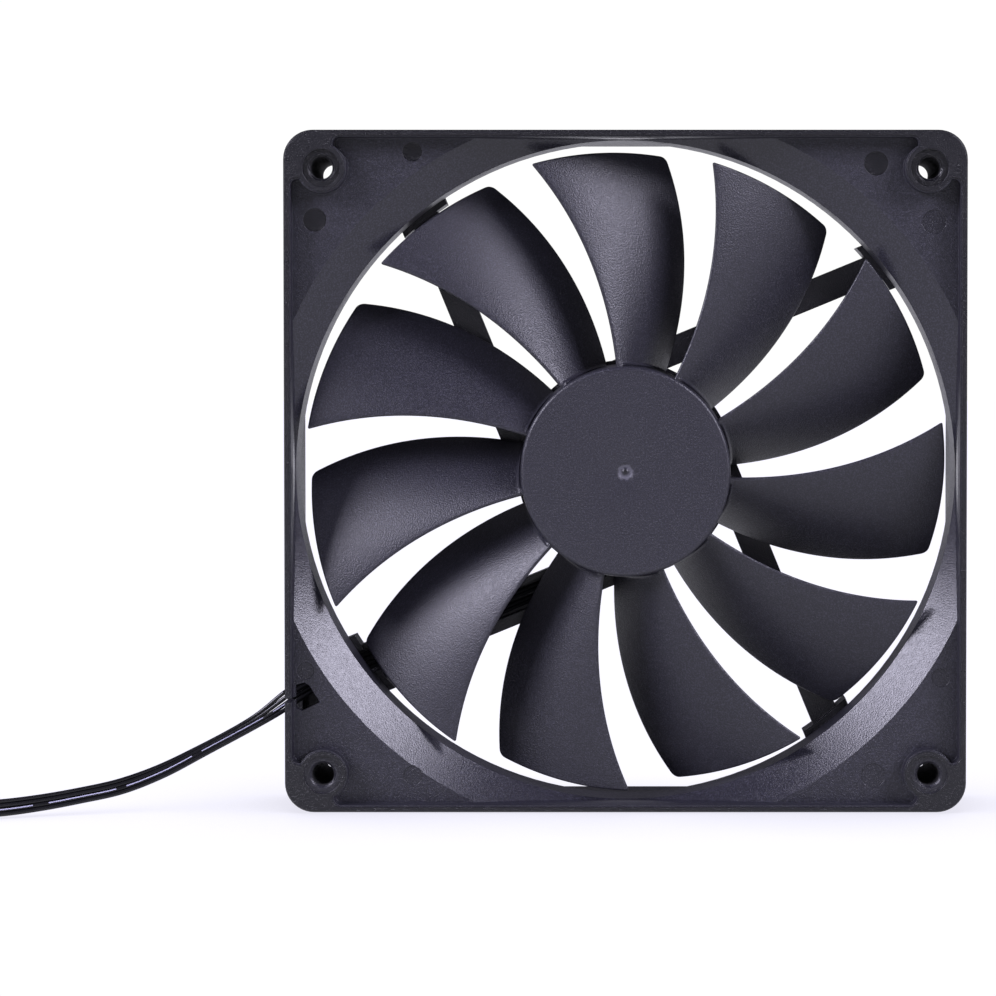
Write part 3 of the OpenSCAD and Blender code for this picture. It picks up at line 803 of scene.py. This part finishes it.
def add_inner_wires(material):
    """The four conductors from the motor along the strut's channel to the outlet."""
    points, faces = [], []
    ends = [wire_places(lead_path(), wire)[0] for wire in range(WIRES)]
    for wire in range(WIRES):
        shift = (wire - (WIRES - 1) / 2) * (WIRE_D + CHANNEL_GAP)
        weave = WEAVE if wire % 2 else -WEAVE
        knots = [on_strut(along, shift + way * weave, depth) for along, depth, way in CHANNEL_ROUTE]
        x, y, z = BEHIND_OUTLET
        knots += [(x, y, z - shift), tuple(ends[wire])]
        steps = 6
        places = [through(knots, k / steps) for k in range((len(knots) - 1) * steps + 1)]
        tube(places, WIRE_D / 2, points, faces)
    piece = add_piece("lead_in_channel", points, faces, [material], "housing")
    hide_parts("lead_wires")
    return piece


# ---- Studio ----

LIGHT_DISTANCE = 1.5
COOL = (0.95, 0.92, 1.12)
# Name, azimuth and elevation in degrees, size in metres, power in watts
SOFTBOXES = [
    ("left_softbox", -61, 29.5, (0.75, 0.7), 25.5),
    ("right_softbox", 55, 31, (0.6, 0.75), 21),
]
FLOOR_SIZE = 6
FLOOR_GAP = 0.0002
PAPER = (1.02, 1.01, 1.12, 1)
SHADE = (0.78, 0.77, 0.86, 1)
# How far a thing's painted shade reaches over the paper, and how much open sky is full shade and none
SHADE_REACH = 0.05
SHADE_SPAN = (0.45, 0.97)
# Strengths: white as the camera sees it, the floor, the room in front and the backdrop behind
WHITE = 1.02
FLOOR_GLOW = 0.8
ROOM_GLOW = 0.165
BACKDROP_GLOW = 0.12
# The room fades into the backdrop between these shares of +Y in a ray's direction
BACKDROP_FADE = (-0.05, 0.3)


def floor_finish():
    """White paper: evenly bright, with painted shade close to what stands on it."""
    s = Shader("floor", (0, 0, 0), 1, specular=0)
    open_sky = s.add("ShaderNodeAmbientOcclusion", samples=8)
    open_sky.inputs["Distance"].default_value = SHADE_REACH
    ramp = s.add("ShaderNodeMix", data_type="RGBA")
    ramp.inputs[6].default_value = SHADE
    ramp.inputs[7].default_value = PAPER
    # Painted contact shade: less open sky darkens the paper's glow
    s.link(s.span(open_sky.outputs["AO"], 0, 1, *SHADE_SPAN), ramp.inputs[0])
    s.link(ramp.outputs[2], s.bsdf.inputs["Emission Color"])
    rays = s.add("ShaderNodeLightPath")
    s.link(s.span(rays.outputs["Is Camera Ray"], FLOOR_GLOW, 1, 0, 1), s.bsdf.inputs["Emission Strength"])
    return s.material


def add_floor():
    mesh = bpy.data.meshes.new("floor")
    size = FLOOR_SIZE
    corners = [(-size, -size, 0), (size, -size, 0), (size, size, 0), (-size, size, 0)]
    mesh.from_pydata(corners, [], [(0, 1, 2, 3)])
    mesh.materials.append(floor_finish())
    floor = bpy.data.objects.new("floor", mesh)
    floor.location.z = -FLOOR_GAP
    bpy.context.scene.collection.objects.link(floor)


def add_softbox(name, azimuth, elevation, size, power):
    """A soft light that faces the fan from a direction: azimuth to the right of the front."""
    data = bpy.data.lights.new(name, "AREA")
    data.shape = "RECTANGLE"
    data.size, data.size_y = size
    data.energy = power
    data.color = COOL
    light = bpy.data.objects.new(name, data)
    a, e = math.radians(azimuth), math.radians(elevation)
    away = Vector((math.sin(a) * math.cos(e), -math.cos(a) * math.cos(e), math.sin(e)))
    light.location = away * LIGHT_DISTANCE + Vector((0, 0, HALF * MM))
    light.rotation_euler = (-away).to_track_quat("-Z", "Y").to_euler()
    bpy.context.scene.collection.objects.link(light)


def add_studio():
    for softbox in SOFTBOXES:
        add_softbox(*softbox)
    world = bpy.data.worlds.new("world")
    world.use_nodes = True
    tree = world.node_tree
    backdrop = tree.nodes["Background"]
    backdrop.inputs["Color"].default_value = (1, 1, 1, 1)
    backdrop.inputs["Strength"].default_value = WHITE
    # The camera sees white, and the fan is lit by a dim room in front and a dimmer backdrop behind
    place = tree.nodes.new("ShaderNodeTexCoord")
    split = tree.nodes.new("ShaderNodeSeparateXYZ")
    behind = tree.nodes.new("ShaderNodeMapRange")
    for socket, number in zip(behind.inputs[1:5], (*BACKDROP_FADE, ROOM_GLOW, BACKDROP_GLOW)):
        socket.default_value = number
    room = tree.nodes.new("ShaderNodeBackground")
    room.inputs["Color"].default_value = (*COOL, 1)
    rays = tree.nodes.new("ShaderNodeLightPath")
    mix = tree.nodes.new("ShaderNodeMixShader")
    for source, target in (
        (place.outputs["Generated"], split.inputs[0]),
        (split.outputs["Y"], behind.inputs[0]),
        (behind.outputs[0], room.inputs["Strength"]),
        (rays.outputs["Is Camera Ray"], mix.inputs[0]),
        (room.outputs[0], mix.inputs[1]),
        (backdrop.outputs[0], mix.inputs[2]),
        (mix.outputs[0], tree.nodes["World Output"].inputs[0]),
    ):
        tree.links.new(source, target)
    bpy.context.scene.world = world
    bpy.context.scene.view_settings.view_transform = "Standard"


# ---- Assembly ----

add_camera()
materials = make_materials()
lead, lead_line, lead_length = add_lead(materials["lead_pvc"], stripe_ink())
inner_wires = add_inner_wires(shaded_pvc())
add_impeller(materials["impeller_plastic"])

for subpart in frame["record"]["subparts"]:
    node = frame["nodes"][subpart["node"]]
    for k in range(len(node.data.materials)):
        node.data.materials[k] = materials[subpart["material_slot"]]

add_floor()
add_studio()
